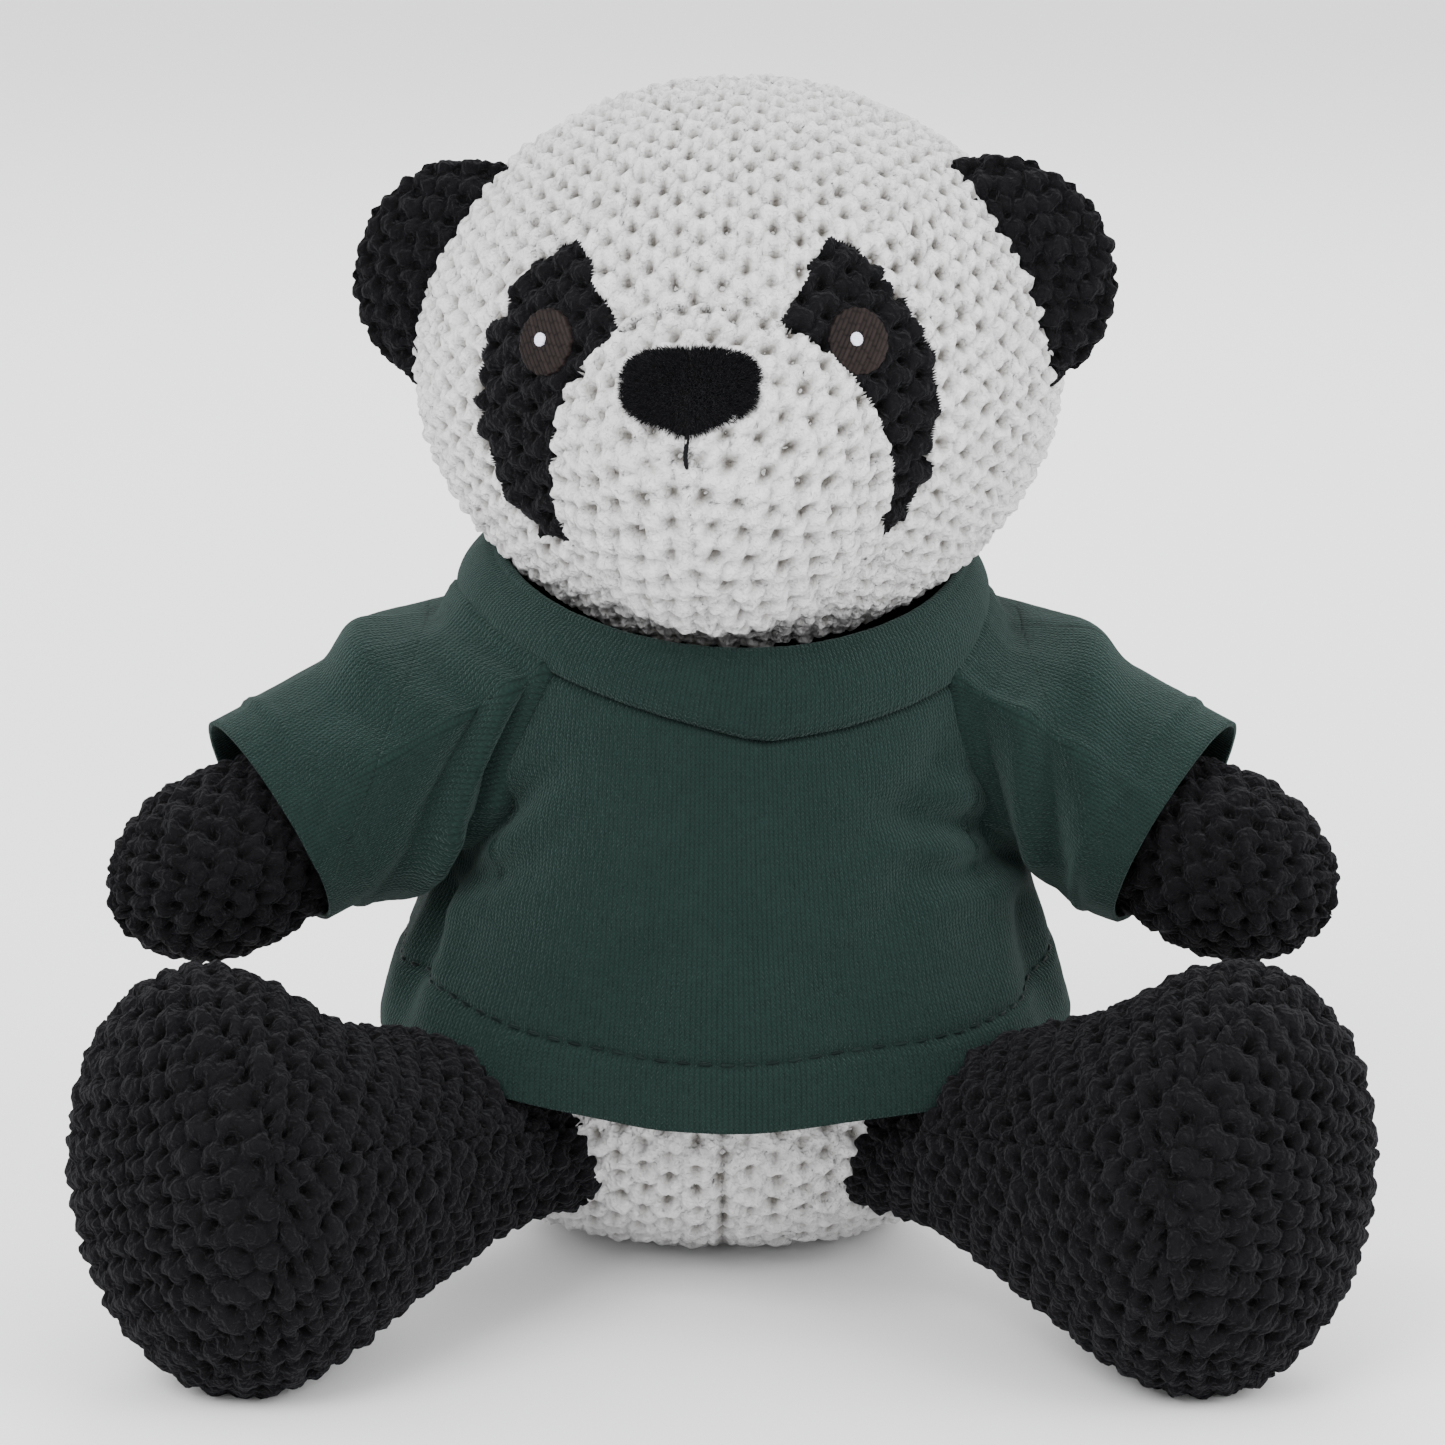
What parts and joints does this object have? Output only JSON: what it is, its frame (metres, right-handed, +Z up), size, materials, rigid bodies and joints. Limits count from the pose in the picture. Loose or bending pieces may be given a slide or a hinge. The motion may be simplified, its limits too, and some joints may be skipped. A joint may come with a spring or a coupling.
{
  "type": "plush panda",
  "caption": "Seated stuffed panda with a looped chenille skin, fibre filling, soft sewn joints and a short-sleeved jersey shirt.",
  "frame": {"origin": "middle of the flat seat under the torso, on the surface it sits on", "axes": "+Z up, the panda faces -Y, +X is towards its left hand"},
  "size_m": [0.194, 0.1361, 0.185],
  "materials": {
    "white_chenille": "looped chenille knit with a honeycomb of pits",
    "black_chenille": "looped chenille knit with a honeycomb of pits",
    "nose_pile": "short cut pile",
    "black_thread": "twisted sewing thread",
    "brown_thread": "satin embroidery",
    "white_thread": "satin embroidery",
    "fibrefill": "lofty polyester fibre",
    "pellet_cloth": "plain woven bag of pellets",
    "green_jersey": "brushed single jersey knit"
  },
  "bodies": {
    "head": {"head_front": "white_chenille", "head_back_left": "white_chenille", "head_back_right": "white_chenille", "muzzle_left": "white_chenille", "muzzle_right": "white_chenille", "nose": "nose_pile", "nose_stitch": "black_thread", "eye_patch_left": "black_chenille", "eye_patch_right": "black_chenille", "iris_left": "brown_thread", "iris_right": "brown_thread", "glint_left": "white_thread", "glint_right": "white_thread", "head_stuffing": "fibrefill", "muzzle_stuffing": "fibrefill"},
    "ear_left": {"ear_front_left": "black_chenille", "ear_back_left": "black_chenille", "ear_wadding_left": "fibrefill"},
    "ear_right": {"ear_front_right": "black_chenille", "ear_back_right": "black_chenille", "ear_wadding_right": "fibrefill"},
    "neck": {"neck_stuffing": "fibrefill"},
    "torso": {"belly_left": "white_chenille", "belly_right": "white_chenille", "torso_back_left": "white_chenille", "torso_back_right": "white_chenille", "yoke_front": "black_chenille", "yoke_back": "black_chenille", "seat_panel": "white_chenille", "torso_stuffing": "fibrefill", "pellet_bag": "pellet_cloth", "shirt_front": "green_jersey", "shirt_back": "green_jersey", "shirt_collar": "green_jersey"},
    "shoulder_left": {"shoulder_stuffing_left": "fibrefill"},
    "arm_left": {"arm_front_left": "black_chenille", "arm_back_left": "black_chenille", "arm_stuffing_left": "fibrefill", "sleeve_left": "green_jersey"},
    "hip_left": {"hip_stuffing_left": "fibrefill"},
    "leg_left": {"leg_upper_left": "black_chenille", "leg_lower_left": "black_chenille", "sole_left": "black_chenille", "leg_stuffing_left": "fibrefill"},
    "shoulder_right": {"shoulder_stuffing_right": "fibrefill"},
    "arm_right": {"arm_front_right": "black_chenille", "arm_back_right": "black_chenille", "arm_stuffing_right": "fibrefill", "sleeve_right": "green_jersey"},
    "hip_right": {"hip_stuffing_right": "fibrefill"},
    "leg_right": {"leg_upper_right": "black_chenille", "leg_lower_right": "black_chenille", "sole_right": "black_chenille", "leg_stuffing_right": "fibrefill"}
  },
  "joints": [
    {"name": "neck_turn", "type": "hinge", "parent": "torso", "child": "neck", "pos_m": [0.001, -0.003, 0.1045], "axis": [0, 0, 1], "range_deg": [-25, 25]},
    {"name": "head_nod", "type": "hinge", "parent": "neck", "child": "head", "pos_m": [0.001, -0.003, 0.1045], "axis": [1, 0, 0], "range_deg": [-7, 7]},
    {"name": "ear_left_fold", "type": "hinge", "parent": "head", "child": "ear_left", "pos_m": [-0.0436, -0.00357, 0.15786], "axis": [0.4725, -0.0664, 0.8788], "range_deg": [-20, 20]},
    {"name": "ear_right_fold", "type": "hinge", "parent": "head", "child": "ear_right", "pos_m": [0.04635, -0.01621, 0.16023], "axis": [0.5174, -0.0727, -0.8526], "range_deg": [-20, 20]},
    {"name": "arm_left_swing", "type": "hinge", "parent": "torso", "child": "shoulder_left", "pos_m": [-0.031, -0.001, 0.086], "axis": [0, 0, 1], "range_deg": [-15, 8]},
    {"name": "arm_left_lift", "type": "hinge", "parent": "shoulder_left", "child": "arm_left", "pos_m": [-0.031, -0.001, 0.086], "axis": [-0.3939, 0.9191, 0], "range_deg": [-3, 28]},
    {"name": "arm_right_swing", "type": "hinge", "parent": "torso", "child": "shoulder_right", "pos_m": [0.031, -0.001, 0.086], "axis": [0, 0, -1], "range_deg": [-15, 8]},
    {"name": "arm_right_lift", "type": "hinge", "parent": "shoulder_right", "child": "arm_right", "pos_m": [0.031, -0.001, 0.086], "axis": [-0.3939, -0.9191, 0], "range_deg": [-3, 28]},
    {"name": "leg_left_splay", "type": "hinge", "parent": "torso", "child": "hip_left", "pos_m": [-0.025, -0.019, 0.025], "axis": [0, 0, -1], "range_deg": [-12, 10]},
    {"name": "leg_left_lift", "type": "hinge", "parent": "hip_left", "child": "leg_left", "pos_m": [-0.025, -0.019, 0.025], "axis": [-0.6912, 0.7226, 0], "range_deg": [0, 10]},
    {"name": "leg_right_splay", "type": "hinge", "parent": "torso", "child": "hip_right", "pos_m": [0.025, -0.019, 0.025], "axis": [0, 0, 1], "range_deg": [-12, 10]},
    {"name": "leg_right_lift", "type": "hinge", "parent": "hip_right", "child": "leg_right", "pos_m": [0.025, -0.019, 0.025], "axis": [-0.6912, -0.7226, 0], "range_deg": [0, 10]}
  ]
}
